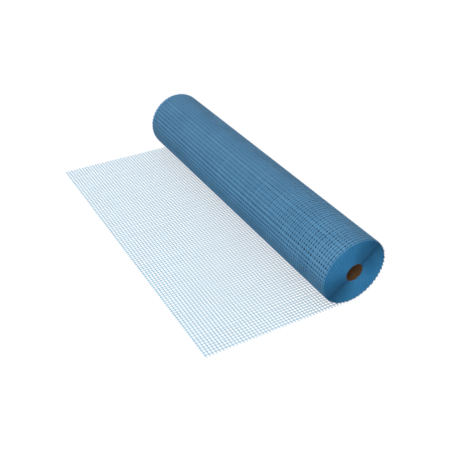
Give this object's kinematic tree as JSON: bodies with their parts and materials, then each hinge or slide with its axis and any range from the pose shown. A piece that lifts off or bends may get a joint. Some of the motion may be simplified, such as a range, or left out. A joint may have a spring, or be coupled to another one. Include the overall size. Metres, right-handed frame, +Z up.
{
  "type": "roll of fibreglass mesh",
  "caption": "Roll of open-grid glass fibre mesh wound on a paperboard tube, lying on its side with the free end of the web unrolled flat on the floor.",
  "frame": {"origin": "on the floor, at the centre of the bounding box's base", "axes": "+X along the roll's axis, towards the end that faces the camera; -Y the way the free end is unrolled; +Z up"},
  "size_m": [1, 0.5436, 0.201],
  "materials": {
    "mesh_web": "blue polymer-coated glass strands, satin",
    "core_tube": "brown paperboard, matt"
  },
  "bodies": {
    "root": {"mesh_web": "mesh_web", "core_tube": "core_tube"}
  },
  "joints": []
}
